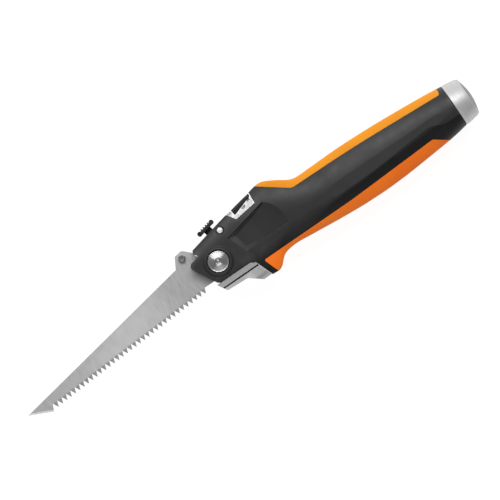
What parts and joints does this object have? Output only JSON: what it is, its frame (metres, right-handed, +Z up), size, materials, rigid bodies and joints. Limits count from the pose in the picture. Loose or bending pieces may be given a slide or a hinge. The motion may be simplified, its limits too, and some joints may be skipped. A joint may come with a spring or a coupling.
{
  "type": "folding drywall saw",
  "caption": "Folding jab saw for drywall: toothed steel blade on a pivot screw in a two-shell handle with soft grips, a metal frame, a lock slide, a latch lever and a strike cap.",
  "frame": {"origin": "under the middle of the open tool as it lies on its right side", "axes": "+X from the saw's point to the butt, +Y towards the back edge with the slide, +Z up out of the left side, parallel to the pivot screw"},
  "size_m": [0.383, 0.0587, 0.0328],
  "materials": {
    "black_nylon": "satin moulded nylon",
    "amber_grip": "smooth soft overmould",
    "orange_grip": "fine speckled soft overmould",
    "frame_metal": "satin die casting",
    "dark_nylon": "plain moulded",
    "black_rubber": "matt",
    "pin_steel": "turned",
    "bright_steel": "turned, bright rim",
    "bronze": "plain bearing",
    "polished_steel": "polished",
    "spring_steel": "tempered",
    "dark_steel": "black oxide",
    "cap_metal": "satin turned",
    "blade_steel": "satin ground",
    "stud_steel": "dark satin",
    "pad_nylon": "satin moulded"
  },
  "bodies": {
    "handle": {"left_shell": "black_nylon", "right_shell": "black_nylon", "back_grip": "amber_grip", "left_belly_grip": "orange_grip", "right_belly_grip": "orange_grip", "left_frame_plate": "frame_metal", "right_frame_plate": "frame_metal", "head_spacer": "dark_nylon", "blade_bumper": "black_rubber", "bumper_pin": "pin_steel", "frame_spacers": "pin_steel", "frame_rivets": "pin_steel", "pivot_screw": "bright_steel", "pivot_nut": "bright_steel", "left_pivot_washer": "bronze", "right_pivot_washer": "bronze", "cross_pin": "polished_steel", "cross_pin_nut": "polished_steel", "slide_spring": "spring_steel", "latch_spring": "spring_steel", "shell_screws": "dark_steel", "strike_cap": "cap_metal", "butt_plug": "pin_steel", "cap_screw": "dark_steel", "blade_keeper": "black_rubber"},
    "saw": {"saw_blade": "blade_steel", "thumb_stud": "stud_steel", "stud_cap": "stud_steel"},
    "slide": {"slide_pad": "pad_nylon", "lock_bar": "pin_steel", "slide_screws": "dark_steel"},
    "latch": {"latch_lever": "pad_nylon", "latch_pin": "pin_steel"}
  },
  "joints": [
    {"name": "saw_fold", "type": "hinge", "parent": "handle", "child": "saw", "pos_m": [-0.0205, -0.00005, 0.0164], "axis": [0, 0, 1], "range_deg": [0, 170]},
    {"name": "lock_slide", "type": "slide", "parent": "handle", "child": "slide", "axis": [-0.9763, -0.2164, 0], "range_m": [0, 0.006]},
    {"name": "latch_lift", "type": "hinge", "parent": "handle", "child": "latch", "pos_m": [0.0211, 0.02595, 0.0164], "axis": [0, 0, 1], "range_deg": [-50, 0]}
  ]
}
